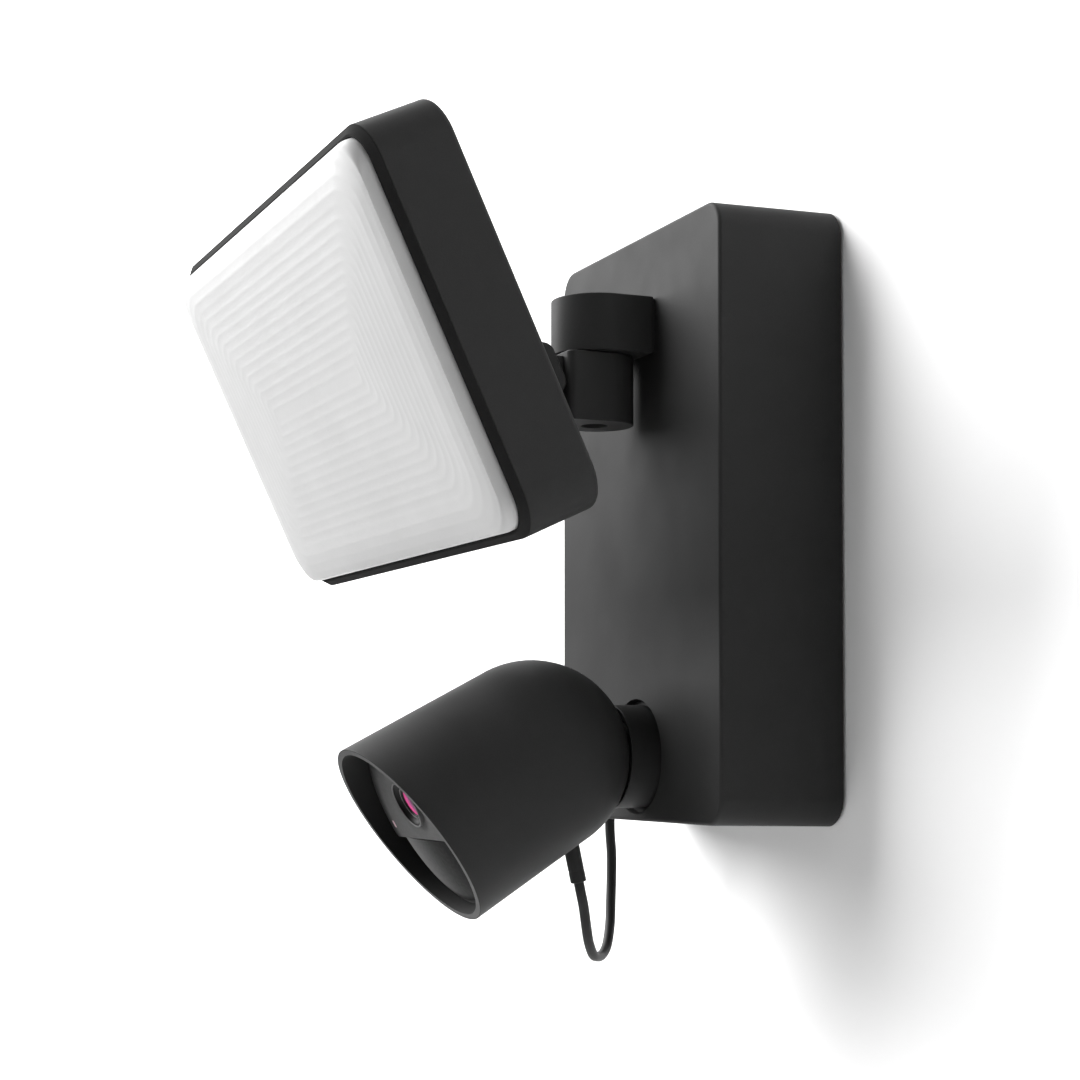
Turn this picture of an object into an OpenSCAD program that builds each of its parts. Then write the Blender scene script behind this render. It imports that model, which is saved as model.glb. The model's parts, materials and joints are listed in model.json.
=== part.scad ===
// Wall-mounted floodlight with a tilting light head and a camera held by a magnet.
// The origin is the centre of the wall face of the steel mounting plate.
// -Y points away from the wall, +X is to the right seen from the front, +Z is up.

/* [Housing] */
// Height of the housing's front
housing_h = 250; // [248:1:256]
// Width of the housing's front
housing_w = 153.4; // [152:0.2:158]
// Distance from the wall to the housing's front
housing_d = 56.4; // [56:0.2:58]
// Corner radius of the housing's front
housing_r = 11; // [10:0.5:13]
// Wall thickness of the housing
housing_wall = 2.8; // [2.6:0.1:3]
// Draft of each side, from the front to the wall
draft = 1.05; // [0.6:0.05:1.2]

/* [Arm] */
// Half width of the D-shaped arm block and radius of its round nose
block_r = 19.7; // [19:0.1:21]
// Height of the arm block
block_h = 23.9; // [23:0.1:25]
// Height of the arm block's underside above the origin
block_z = 72.5; // [71:0.5:74]
// Distance from the wall to the vertical swivel axis
swivel_y = 74.4; // [74:0.2:76]
// Radius of the swivelling knuckle
knuckle_r = 15.5; // [15:0.1:16]
// Distance from the knuckle's axis to its flat front
knuckle_front = 19.6; // [19:0.1:20]
// Height of the knuckle's underside above the origin
knuckle_z = 43.1; // [42:0.1:44]

/* [Light head] */
// Width of the light head
head_w = 259; // [255:1:262]
// Height of the light head
head_h = 156.8; // [154:0.2:160]
// Depth of the light head's side, without its chamfer
head_d = 29.9; // [29.5:0.1:31]
// Corner radius of the light head
head_r = 16.2; // [15:0.2:18]
// Chamfer round the front of the light head
chamfer = 2.85; // [2.6:0.05:3]
// Height of the diffuser's crown in front of the head's side
crown = 12; // [11:0.1:13]
// Tilt of the light head below the horizon as it is stored
head_tilt = 25; // [25]

/* [Camera] */
// Radius of the camera's domed back
dome_r = 41; // [40.8:0.1:41.2]
// Radius of the camera barrel at its open front
visor_r = 43.7; // [43.4:0.1:44]
// Length from the dome's centre to the visor's rim, on the barrel axis
barrel_l = 63.1; // [62:0.1:64]
// Rake of the visor's rim, in degrees
visor_rake = 7.5; // [6:0.5:9]
// Distance from the dome's centre to the face of the camera
face_s = 56.8; // [56.5:0.1:57]
// Tilt of the camera below the horizon as it is stored
camera_tilt = 30; // [30]

/* [Cable] */
// Diameter of the camera cable
cable_d = 4.4; // [4:0.1:4.5]
// Diameter of the plug's moulded sleeve
plug_d = 6.8; // [6.6:0.1:7]

/* [Hidden] */
$fn = 96;
facets = 32;
gap = 0.05;

back_gap = 0.8;
front_wall = 3;
cover_y = -8;
cover_t = 2;
board_y = -14;
board_t = 1.6;
plate_t = 1.5;
plate_w = 112;
plate_h = 190;
entry_z = 30;
entry_r = 14;
box_pitch = 88.9;
box_hole_r = 2.5;
wall_pitch_x = 90;
wall_pitch_z = 160;
wall_hole_r = 2.75;
corner_x = 66;
corner_z = 113;
screw_r = 1.5;
board_z = -6;
board_w = 104;
board_h = 96;

gasket_t = 0.8;
block_back = housing_d + gasket_t;
block_mid_z = block_z + block_h / 2;
arm_screw_x = 11.5;
arm_screw_r = 2;
spigot_r = 9;
spigot_h = 5.7;
bolt_r = 2.5;
bolt_head_r = 4.2;
bolt_seat_z = 52;
bolt_well_r = 5.7;
bolt_well_y = -swivel_y - 1.3;
knuckle_corner = 3.5;
hinge_y = -110;
hinge_z = 60.4;
lug_x = 9;
lug_r = 10;
pin_r = 3;

head_wall = 2.5;
head_back = 3;
hinge_local_y = 74.9;
hinge_local_z = -25.8;
neck_x = 18.9;
neck_h = 22.4;
neck_end = 86.1;
neck_corner = 5.5;
neck_flange = 4;
slot_x = 10;
lip = 1.2;
rim_w = chamfer + lip;
flange_r = 13.5;
led_face = 8;
light_screw_x = 100;
light_screw_z = 50;

camera_y = -104.8;
camera_z = -98.1;
cup_z = -97.6;
recess_r = 24.1;
cup_r = 22;
cup_front = -66.7;
pad_r = 15;
shell_t = 2.8;
inner_r = dome_r - shell_t;
face_r = 39.1;
split_z = -5.7;
lens_z = 11;
lens_ring_r = 10.4;
light_x = -31.3;
light_z = 0.6;

plug_end = [0, -83.2, -150.4];
plug_lean = 12.5;
plug_l = 19;
cable_low = 8;
cable_ref = [0.62, 0.78, 0];
// The cable's centreline, from inside the gland, round the bottom and up into the plug
cable_route = [
    [-44, -48, -121], [-44, -48, -131], [-43.5, -47.5, -141], [-42.5, -48, -151],
    [-40, -49.5, -161.5], [-36.5, -51.5, -171], [-31.5, -55, -179], [-28, -58, -182.5],
    [-23.5, -62, -184.5], [-19, -66, -184.3], [-14.5, -70, -182.5], [-9, -74.5, -176.5],
    [-5, -77.5, -169], [-2, -80, -161], [0, -82.3, -154.4], [0, -83.85, -147.4]
];

// Places its children in the light head: local Y runs back through the head, local Z up it
module at_head() {
    translate([0, hinge_y, hinge_z])
        rotate([head_tilt, 0, 0])
            translate([0, -hinge_local_y, -hinge_local_z])
                children();
}

// Places its children in the camera: local -Y is the way it looks, local Z is up its face
module at_camera() {
    translate([0, camera_y, camera_z])
        rotate([camera_tilt, 0, 0])
            children();
}

// Places its children at the cable end of the plug, with local Z up the plug
module at_plug() {
    translate(plug_end)
        rotate([plug_lean, 0, 0])
            children();
}

// Extrudes an outline drawn in X and Z from y0 to y1
module slab(y0, y1) {
    rotate([90, 0, 0])
        translate([0, 0, -y1])
            linear_extrude(y1 - y0)
                children();
}

// Extrudes an outline drawn in Y and Z from x0 to x1
module bar(x0, x1) {
    translate([x0, 0, 0])
        rotate([90, 0, 90])
            linear_extrude(x1 - x0)
                children();
}

// Cylinder along Y from y0 to y1
module rod_y(r, y0, y1) {
    translate([0, y1, 0])
        rotate([90, 0, 0])
            cylinder(r = r, h = y1 - y0);
}

// Cylinder along X from x0 to x1
module rod_x(r, x0, x1) {
    translate([x0, 0, 0])
        rotate([0, 90, 0])
            cylinder(r = r, h = x1 - x0);
}

module rounded_rect(w, h, r) {
    square([w - 2 * r, h], center = true);
    square([w, h - 2 * r], center = true);
    corners((w / 2) - r, (h / 2) - r)
        circle(r);
}

// Repeats its children at the four corners of a rectangle in X and Y
module corners(x, y) {
    for (sx = [-1, 1], sy = [-1, 1])
        translate([sx * x, sy * y])
            children();
}

// Repeats its children at the four corners of a rectangle in X and Z
module corners_xz(x, z) {
    for (sx = [-1, 1], sz = [-1, 1])
        translate([sx * x, 0, sz * z])
            children();
}

// Screw along Y: its head starts at y and its shank runs towards -Y
module screw_y(y, shank_r, head_r, head_h, length) {
    difference() {
        rod_y(head_r, y, y + head_h);
        rod_y(shank_r * 0.7, y + head_h * 0.5, y + head_h + 1, $fn = 6);
    }
    rod_y(shank_r, y - length, y);
}

// ---------- wall side ----------

module wall_plate() {
    color("silver")
        difference() {
            slab(-plate_t, 0)
                rounded_rect(plate_w, plate_h, 8);
            translate([0, 0, entry_z])
                rod_y(entry_r, -3, 1);
            for (s = [-1, 1])
                translate([s * box_pitch / 2, 0, 0])
                    rod_y(box_hole_r, -3, 1);
            corners_xz(wall_pitch_x / 2, wall_pitch_z / 2)
                rod_y(wall_hole_r, -3, 1);
        }
}

module wall_gasket() {
    color("#151515")
        slab(-3, 0)
            difference() {
                rounded_rect(housing_w - 4.8, housing_h - 4.8, housing_r - 1);
                rounded_rect(housing_w - 17, housing_h - 17, 5);
            }
}

module rear_cover() {
    color("#2a2a2a") {
        difference() {
            slab(cover_y - cover_t, cover_y)
                rounded_rect(housing_w - 6.4, housing_h - 6.4, 8);
            translate([0, 0, entry_z])
                rod_y(6, -12, -6);
            corners_xz(corner_x, corner_z)
                rod_y(screw_r + 0.2, -12, -6);
        }
        translate([0, 0, board_z])
            corners_xz(board_w / 2 - 6, board_h / 2 - 6)
                difference() {
                    rod_y(3.5, board_y, cover_y - cover_t);
                    rod_y(1.3, board_y - 1, board_y + 3);
                }
    }
}

// Drafted box from y0 to y1, each wall moved in by inset
module housing_shape(inset, y0, y1) {
    r = housing_r - inset;
    hull() {
        slab(y0, y0 + 0.1)
            rounded_rect(housing_w - 2 * inset, housing_h - 2 * inset, r, $fn = facets);
        slab(y1 - 0.1, y1)
            rounded_rect(
                housing_w + 2 * draft - 2 * inset, housing_h + 2 * draft - 2 * inset,
                r + draft, $fn = facets
            );
    }
}

module front_housing() {
    color("#2b2b2b")
        difference() {
            union() {
                difference() {
                    housing_shape(0, -housing_d, -back_gap);
                    housing_shape(housing_wall, -housing_d + front_wall, 1);
                }
                corners_xz(corner_x, corner_z)
                    rod_y(4.2, -housing_d + front_wall - 1, cover_y - cover_t - 0.2);
            }
            corners_xz(corner_x, corner_z)
                rod_y(screw_r, -26, 0);
            translate([0, 0, cup_z])
                rod_y(recess_r, -housing_d - 1, -housing_d + front_wall + 1);
            for (s = [-1, 1])
                translate([s * arm_screw_x, 0, block_mid_z])
                    rod_y(arm_screw_r + 0.1, -housing_d - 1, -housing_d + front_wall + 1);
            translate([cable_route[0][0], cable_route[0][1], -housing_h / 2 - 3])
                cylinder(r = 4, h = 8);
            cup_screw_places()
                rod_y(1.2, -housing_d + 0.8, -housing_d + front_wall + 1);
        }
}

module housing_screws() {
    color("gray")
        corners_xz(corner_x, corner_z)
            screw_y(cover_y, screw_r - gap, 2.8, 1.8, 16);
}

module power_board() {
    color("darkgreen")
        translate([0, 0, board_z])
            difference() {
                slab(board_y - board_t, board_y)
                    rounded_rect(board_w, board_h, 3);
                corners_xz(board_w / 2 - 6, board_h / 2 - 6)
                    rod_y(1.6, -20, -10);
            }
}

module board_screws() {
    color("gray")
        translate([0, 0, board_z])
            corners_xz(board_w / 2 - 6, board_h / 2 - 6)
                mirror([0, 1, 0])
                    screw_y(-board_y + board_t, 1.25, 2.6, 1.6, 4);
}

module board_parts() {
    top = board_y - board_t;
    translate([0, 0, board_z]) {
        color("goldenrod")
            translate([20, 0, 8])
                slab(top - 22, top)
                    square([34, 30], center = true);
        color("navy")
            for (x = [-36, -20])
                translate([x, 0, 12])
                    rod_y(6.5, top - 24, top);
        color("black")
            translate([-26, 0, -22])
                slab(top - 15, top)
                    square([28, 14], center = true);
        color("dimgray")
            translate([22, 0, -24])
                slab(top - 10, top)
                    square([36, 16], center = true);
    }
}

module terminal_block() {
    color("whitesmoke")
        translate([0, 0, 58])
            difference() {
                slab(-24, cover_y - cover_t)
                    square([44, 16], center = true);
                for (x = [-14, 0, 14])
                    translate([x, -17, -9])
                        cylinder(r = 3, h = 12);
            }
}

// ---------- arm ----------

module d_outline() {
    translate([0, -swivel_y])
        circle(block_r);
    translate([-block_r, -swivel_y])
        square([2 * block_r, swivel_y - block_back]);
}

module arm_gasket() {
    color("#151515")
        difference() {
            translate([0, 0, block_mid_z])
                slab(-block_back, -housing_d)
                    square([2 * block_r - 1.6, block_h - 1.6], center = true);
            for (s = [-1, 1])
                translate([s * arm_screw_x, 0, block_mid_z])
                    rod_y(arm_screw_r + 0.1, -block_back - 1, -housing_d + 1);
        }
}

module arm_block() {
    color("#262626")
        difference() {
            translate([0, 0, block_z])
                linear_extrude(block_h)
                    d_outline();
            translate([-block_r - 1, -block_back, block_z - 1])
                cube([2 * block_r + 2, 20, block_h + 2]);
            translate([0, -swivel_y, block_z - 1])
                cylinder(r = spigot_r + gap, h = spigot_h + 1.3);
            translate([0, -swivel_y, block_z])
                cylinder(r = bolt_r + gap, h = 19.5);
            for (s = [-1, 1])
                translate([s * arm_screw_x, 0, block_mid_z])
                    rod_y(arm_screw_r + gap, -block_back - 10, -block_back + 1);
        }
}

module arm_screws() {
    color("gray")
        for (s = [-1, 1])
            translate([s * arm_screw_x, 0, block_mid_z])
                screw_y(-housing_d + front_wall, arm_screw_r, 3.6, 2.6, 12.5);
}

module swivel_bolt() {
    color("dimgray")
        translate([0, -swivel_y, 0])
            difference() {
                union() {
                    translate([0, 0, bolt_seat_z - 4.9])
                        cylinder(r = bolt_head_r, h = 4);
                    translate([0, 0, bolt_seat_z - 2])
                        cylinder(r = bolt_r, h = block_z + 19 - bolt_seat_z + 2);
                }
                translate([0, 0, bolt_seat_z - 6])
                    cylinder(r = 2.3, h = 3.4, $fn = 6);
            }
}

module swivel_washer() {
    color("silver")
        translate([0, -swivel_y, bolt_seat_z - 0.9])
            difference() {
                cylinder(r = bolt_head_r + 0.1, h = 0.85);
                translate([0, 0, -1])
                    cylinder(r = bolt_r + gap, h = 3);
            }
}

// Plan of the knuckle: round towards the wall, flat with rounded corners towards the light head
module knuckle_outline() {
    corner_y = -swivel_y - knuckle_front + knuckle_corner;
    corner_x = knuckle_r - knuckle_corner;
    translate([0, -swivel_y])
        circle(knuckle_r);
    translate([-knuckle_r, corner_y])
        square([2 * knuckle_r, knuckle_front - knuckle_corner]);
    translate([-corner_x, corner_y - knuckle_corner])
        square([2 * corner_x, knuckle_front]);
    for (s = [-1, 1])
        translate([s * corner_x, corner_y])
            circle(knuckle_corner);
}

module swivel_knuckle() {
    top = block_z - 0.3;
    color("#262626")
        difference() {
            union() {
                translate([0, 0, knuckle_z])
                    linear_extrude(top - knuckle_z)
                        knuckle_outline();
                translate([0, -swivel_y, top - 1])
                    cylinder(r = spigot_r, h = spigot_h + 1);
                translate([-lug_x, hinge_y, hinge_z - lug_r])
                    cube([2 * lug_x, -swivel_y - hinge_y, 2 * lug_r]);
                translate([0, hinge_y, hinge_z])
                    rod_x(lug_r, -lug_x, lug_x);
            }
            translate([0, bolt_well_y, knuckle_z - 1])
                cylinder(r = bolt_well_r, h = bolt_seat_z - knuckle_z + 1);
            translate([0, -swivel_y, knuckle_z])
                cylinder(r = bolt_r + gap, h = 50);
            translate([0, hinge_y, hinge_z])
                rod_x(pin_r + gap, -20, 20);
        }
}

// ---------- light head ----------

module neck_profile() {
    z0 = hinge_local_z - neck_h / 2;
    z1 = hinge_local_z + neck_h / 2;
    translate([head_d, z0])
        square([neck_end - neck_corner - head_d, neck_h]);
    translate([head_d, z0 + neck_corner])
        square([neck_end - head_d, neck_h - 2 * neck_corner]);
    for (z = [z0 + neck_corner, z1 - neck_corner])
        translate([neck_end - neck_corner, z])
            circle(neck_corner);
}

module neck_screw_places() {
    translate([0, 0, hinge_local_z])
        corners_xz(26, 16)
            children();
}

module light_neck() {
    color("#262626")
        at_head()
            difference() {
                union() {
                    bar(-neck_x, neck_x)
                        neck_profile();
                    translate([0, 0, hinge_local_z])
                        slab(head_d, head_d + neck_flange)
                            rounded_rect(66, 46, 7);
                }
                translate([0, hinge_local_y, hinge_local_z]) {
                    translate([-slot_x, -12.5, -20])
                        cube([2 * slot_x, 40, 40]);
                    rod_x(pin_r + gap, -20, 20);
                    rod_x(5.6, 15, 20);
                    rod_x(5.8, -20, -14.5, $fn = 6);
                }
                neck_screw_places()
                    rod_y(1.85, 20, head_d + 3.2);
            }
}

module neck_screws() {
    color("gray")
        at_head()
            neck_screw_places()
                mirror([0, 1, 0])
                    screw_y(-head_d + head_back, 1.8, 3.2, 2.2, 6);
}

module tilt_bolt() {
    color("dimgray")
        at_head()
            translate([0, hinge_local_y, hinge_local_z])
                difference() {
                    union() {
                        rod_x(pin_r, -18.2, 16);
                        rod_x(5.4, 15.1, 18.6);
                    }
                    rod_x(2.6, 16.8, 20, $fn = 6);
                }
}

module tilt_nut() {
    color("silver")
        at_head()
            translate([0, hinge_local_y, hinge_local_z])
                difference() {
                    rod_x(5.6, -18.6, -14.6, $fn = 6);
                    rod_x(pin_r + gap, -20, -10);
                }
}

module tilt_washers() {
    color("silver")
        at_head()
            translate([0, hinge_local_y, hinge_local_z])
                for (x = [-slot_x + gap, lug_x + gap])
                    difference() {
                        rod_x(8, x, x + slot_x - lug_x - 2 * gap);
                        rod_x(pin_r + gap, -20, 20);
                    }
}

module light_housing() {
    inner_w = head_w - 2 * head_wall;
    inner_h = head_h - 2 * head_wall;
    color("#2b2b2b")
        at_head()
            difference() {
                union() {
                    difference() {
                        slab(0, head_d)
                            rounded_rect(head_w, head_h, head_r);
                        slab(-1, head_d - head_back)
                            rounded_rect(inner_w, inner_h, head_r - head_wall);
                    }
                    corners_xz(light_screw_x, light_screw_z)
                        rod_y(4, 12.8, head_d - 1);
                }
                corners_xz(light_screw_x, light_screw_z)
                    rod_y(screw_r, 10, head_d - head_back);
                neck_screw_places()
                    rod_y(1.9, 20, 40);
                translate([0, 0, hinge_local_z])
                    rod_y(4, 20, 40);
            }
}

module heat_sink() {
    color("lightgray")
        at_head()
            difference() {
                union() {
                    slab(9.7, 12.7)
                        square([220, 124], center = true);
                    for (x = [-84 : 12 : 84])
                        translate([x - 1, 12, -40])
                            cube([2, 11.5, 80]);
                }
                corners_xz(light_screw_x, light_screw_z)
                    rod_y(screw_r + 0.2, 5, 15);
            }
}

module led_board() {
    color("whitesmoke")
        at_head()
            difference() {
                slab(led_face, 9.6)
                    square([216, 120], center = true);
                corners_xz(light_screw_x, light_screw_z)
                    rod_y(screw_r + 0.2, 5, 15);
            }
}

module led_places() {
    for (x = [-87.5 : 25 : 87.5], z = [-42 : 28 : 42])
        translate([x, z])
            children();
}

module leds() {
    color("khaki")
        at_head()
            slab(led_face - 0.8, led_face)
                led_places()
                    square(5, center = true);
}

module reflector() {
    color("white")
        at_head()
            difference() {
                union() {
                    slab(led_face - 0.65, led_face - 0.05)
                        square([214, 118], center = true);
                    difference() {
                        slab(2.4, led_face - 0.05)
                            square([214, 118], center = true);
                        slab(0, 20)
                            square([212, 116], center = true);
                    }
                }
                slab(0, 20)
                    led_places()
                        square(6.4, center = true);
                corners_xz(light_screw_x, light_screw_z)
                    rod_y(3.4, 0, 20);
            }
}

module light_screws() {
    color("gray")
        at_head()
            corners_xz(light_screw_x, light_screw_z)
                mirror([0, 1, 0])
                    screw_y(-led_face, screw_r - gap, 2.8, 1.8, 14);
}

module diffuser_seal() {
    color("#303030")
        at_head()
            slab(1.25, 3)
                difference() {
                    rounded_rect(head_w - 2 * rim_w + 2.8, head_h - 2 * rim_w + 2.8, flange_r);
                    rounded_rect(head_w - 2 * rim_w - 6, head_h - 2 * rim_w - 6, 9);
                }
}

// A rounded rectangle in X and Z at y, as points
function outline_ring(w, h, r, y, steps = 7) = [
    for (corner = [[1, 1, 0], [-1, 1, 90], [-1, -1, 180], [1, -1, 270]], k = [0 : steps])
        let (a = corner[2] + 90 * k / steps)
        [corner[0] * (w / 2 - r) + r * cos(a), y, corner[1] * (h / 2 - r) + r * sin(a)]
];

// The diffuser's ring at a step of [inset from the bezel's opening, height in front of the head's side]
function diffuser_ring(step) =
    outline_ring(
        head_w - 2 * rim_w - 2 * step[0], head_h - 2 * rim_w - 2 * step[0],
        min(max(head_r - rim_w - step[0], 2), flange_r), -step[1]
    );

// A convex panel with a flange behind the bezel: its skin runs up inside, round the flange and over the front
module light_diffuser() {
    wall = 2;
    front = [[0.3, 4.6], [1.2, 7.6], [3.6, 9.6], [8, 10.5], [30, crown - 0.4], [50, crown]];
    inside = [for (k = [len(front) - 1 : -1 : 0]) [front[k][0] + wall, front[k][1] - wall]];
    flange = [[0.3 + wall, -1.2], [-1.4, -1.2], [-1.4, 1.2], [0.3, 1.2]];
    color("white")
        at_head()
            skin([for (step = concat(inside, flange, front)) diffuser_ring(step)]);
}

module light_bezel() {
    color("#2b2b2b")
        at_head()
            difference() {
                hull() {
                    slab(-0.05, 0)
                        rounded_rect(head_w, head_h, head_r, $fn = facets);
                    slab(-chamfer, -chamfer + 0.05)
                        rounded_rect(
                            head_w - 2 * chamfer, head_h - 2 * chamfer,
                            head_r - chamfer, $fn = facets
                        );
                }
                slab(-10, 10)
                    rounded_rect(head_w - 2 * rim_w, head_h - 2 * rim_w, head_r - rim_w);
                slab(-1.3, 10)
                    rounded_rect(head_w - 2 * rim_w + 3, head_h - 2 * rim_w + 3, 13);
            }
}

// ---------- camera mount ----------

module cup_screw_places() {
    for (sx = [-1, 1], z = [-76, -116])
        translate([sx * 27.5, 0, z])
            children();
}

module camera_cup() {
    inside = -housing_d + front_wall;
    color("#1f1f1f")
        difference() {
            union() {
                translate([0, 0, -96])
                    slab(inside, inside + 3)
                        rounded_rect(66, 51, 6);
                translate([0, 0, cup_z])
                    rod_y(cup_r, cup_front, inside + 1);
            }
            translate([0, camera_y, camera_z])
                sphere(r = dome_r + 2.4);
            translate([0, 0, cup_z])
                rod_y(12.1, -60.2, inside + 5);
            cup_screw_places()
                rod_y(1.5, inside - 1, inside + 5);
        }
}

module cup_pad() {
    color("#101010")
        intersection() {
            difference() {
                translate([0, camera_y, camera_z])
                    sphere(r = dome_r + 2.35);
                translate([0, camera_y, camera_z])
                    sphere(r = dome_r + 0.3);
            }
            translate([0, 0, cup_z])
                rod_y(pad_r, -75, -55);
        }
}

module cup_magnet() {
    color("silver")
        translate([0, 0, cup_z])
            rod_y(12, -60.1, -52);
}

module cup_screws() {
    color("gray")
        cup_screw_places()
            screw_y(-housing_d + front_wall + 3, 1.15, 2.4, 1.5, 4.8);
}

module cable_gland() {
    color("#101010")
        translate([cable_route[0][0], cable_route[0][1], -housing_h / 2 - 0.1])
            difference() {
                union() {
                    cylinder(r = 3.95, h = 4);
                    translate([0, 0, 3.1])
                        cylinder(r = 5, h = 2);
                }
                translate([0, 0, -1])
                    cylinder(d = cable_d + 0.2, h = 8);
            }
}

// The steel plate inside the dome that the cup's magnet pulls on
module magnet_armature() {
    color("silver")
        intersection() {
            difference() {
                translate([0, camera_y, camera_z])
                    sphere(r = inner_r - 0.3);
                translate([0, camera_y, camera_z])
                    sphere(r = inner_r - 2.3);
            }
            translate([0, 0, camera_z])
                rod_y(12, -90, -60);
        }
}

// ---------- camera ----------

module camera_outer() {
    grow = visor_r - dome_r;
    sphere(r = dome_r);
    rotate([90, 0, 0])
        cylinder(r1 = dome_r, r2 = dome_r + grow * 72 / barrel_l, h = 72);
}

module camera_inner() {
    sphere(r = inner_r);
    rotate([90, 0, 0])
        cylinder(r1 = inner_r, r2 = face_r + 0.3, h = face_s);
    translate([0, -face_s + 0.01, 0])
        rotate([90, 0, 0])
            cylinder(r1 = face_r + 0.3, r2 = face_r + 3, h = 22);
}

module camera_shell() {
    color("#262626")
        difference() {
            at_camera()
                difference() {
                    camera_outer();
                    camera_inner();
                    translate([0, -barrel_l, 0])
                        rotate([-visor_rake, 0, 0])
                            translate([-60, -40, -60])
                                cube([120, 40, 120]);
                }
            at_plug()
                translate([0, 0, 10])
                    cylinder(d = plug_d + 0.3, h = 14);
        }
}

module camera_chassis() {
    color("dimgray")
        at_camera()
            difference() {
                union() {
                    difference() {
                        rod_y(37.4, -47, -24);
                        rod_y(35, -45, -20);
                    }
                    chassis_screw_places()
                        rod_y(3.5, -46, -34.7);
                }
                translate([0, 0, lens_z])
                    rod_y(9, -50, -20);
                translate([0, 0, -22])
                    rod_y(9, -50, -20);
                translate([light_x, 0, light_z])
                    rod_y(3, -50, -20);
                chassis_screw_places()
                    rod_y(1.2, -50, -20);
            }
}

module face_seal() {
    color("#0c0c0c")
        at_camera()
            difference() {
                rod_y(38.8, -52.4, -50.4);
                rod_y(33, -60, -40);
            }
}

module face_plate() {
    color("#303030")
        at_camera()
            difference() {
                intersection() {
                    rod_y(face_r, -face_s, -face_s + 3.4);
                    translate([-50, -60, split_z])
                        cube([100, 20, 50]);
                }
                translate([0, 0, lens_z])
                    rod_y(lens_ring_r + 0.1, -70, -40);
                translate([light_x, 0, light_z])
                    slab(-70, -40)
                        rounded_rect(2, 3.6, 0.9);
            }
}

// Outline of a shallow dome to revolve: it falls by drop from its crown to radius r
function dome_outline(r, drop, deep, steps = 6) = concat(
    [for (i = [0 : steps]) [r * i / steps, -drop * pow(i / steps, 2)]],
    [[r, -deep], [0, -deep]]
);

// Turns a dome outline about Y, with its crown at y and facing -Y
module dome_y(y, r, drop, deep) {
    translate([0, y, 0])
        rotate([90, 0, 0])
            rotate_extrude()
                polygon(dome_outline(r, drop, deep));
}

// The lower half of the face: a shallow dome that the motion sensor looks through
module sensor_window() {
    crown_y = -face_s - 0.6;
    color("#2e2e2e")
        at_camera()
            difference() {
                intersection() {
                    dome_y(crown_y, 36.8, 3.4, 4.9);
                    translate([-50, -60, -50])
                        cube([100, 20, 50 + split_z - 0.4]);
                }
                intersection() {
                    dome_y(crown_y + 2, 34.8, 2.6, 6);
                    translate([-50, -60, -50])
                        cube([100, 20, 50 + split_z - 2.4]);
                }
            }
}

module lens_ring() {
    color("#202020")
        at_camera()
            translate([0, 0, lens_z])
                difference() {
                    rod_y(lens_ring_r, -face_s - 0.9, -52.6);
                    rod_y(7.3, -70, -40);
                }
}

module lens_barrel() {
    color("#141414")
        at_camera()
            translate([0, 0, lens_z])
                difference() {
                    rod_y(7.2, -face_s - 0.1, -36.2);
                    rod_y(4.6, -70, -30);
                    rod_y(6.1, -70, -face_s + 2.4);
                }
}

module lens_glass() {
    color("deeppink", 0.6)
        at_camera()
            translate([0, 0, lens_z])
                dome_y(-face_s + 0.4, 6, 0.9, 1.95);
}

module status_light() {
    color("mistyrose")
        at_camera()
            translate([light_x, 0, light_z])
                slab(-face_s - 0.05, -48)
                    rounded_rect(1.8, 3.4, 0.85);
}

module camera_board() {
    color("darkgreen")
        at_camera()
            difference() {
                rod_y(34.5, -34.6, -33);
                chassis_screw_places()
                    rod_y(1.5, -40, -20);
            }
}

module image_sensor() {
    color("black")
        at_camera()
            translate([0, 0, lens_z])
                slab(-36.1, -34.65)
                    square([12, 10], center = true);
}

module motion_sensor() {
    color("silver")
        at_camera()
            translate([0, 0, -22])
                rod_y(4.6, -46, -34.65);
}

module chassis_screw_places() {
    for (a = [0, 90, 180, 270])
        rotate([0, a + 45, 0])
            translate([30, 0, 0])
                children();
}

module chassis_screws() {
    color("gray")
        at_camera()
            chassis_screw_places()
                difference() {
                    union() {
                        rod_y(2.3, -33, -31.4);
                        rod_y(1.15, -46.5, -32);
                    }
                    rod_y(0.9, -32.2, -30, $fn = 6);
                }
}

module camera_socket() {
    color("gray")
        at_plug()
            difference() {
                translate([0, 0, 21.5])
                    cylinder(r = 4.8, h = 9.5);
                translate([0, 0, 20])
                    cylinder(r = 2.1, h = 7);
            }
}

// ---------- camera cable ----------

module cable_plug() {
    color("#1a1a1a")
        at_plug()
            difference() {
                union() {
                    cylinder(d = plug_d, h = plug_l);
                    translate([0, 0, plug_l - 1])
                        cylinder(r = 2, h = 6);
                }
                translate([0, 0, -1])
                    cylinder(d = cable_d + 0.2, h = 5);
            }
}

function unit(v) = v / norm(v);
function heading(i) =
    i == len(cable_route) - 1 ? unit(cable_route[i] - cable_route[i - 1])
    : i == 0 ? [0, 0, -1]
    : unit(cable_route[i + 1] - cable_route[i - 1]);
function ring(i, sides) =
    let (
        u = unit(cross(heading(i), cable_ref)),
        v = cross(heading(i), u)
    )
    [for (k = [0 : sides - 1])
        cable_route[i] + cable_d / 2 * (cos(360 * k / sides) * u + sin(360 * k / sides) * v)];

// A closed solid through rings of equal length, with both end rings filled
module skin(rings) {
    sides = len(rings[0]);
    walls = [
        for (i = [0 : len(rings) - 2], k = [0 : sides - 1])
            let (a = i * sides + k, b = i * sides + (k + 1) % sides)
            each [[a, b, b + sides], [a, b + sides, a + sides]]
    ];
    first = [for (k = [sides - 1 : -1 : 0]) k];
    last = [for (k = [0 : sides - 1]) (len(rings) - 1) * sides + k];
    polyhedron([for (r = rings) each r], concat(walls, [first, last]));
}

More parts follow.
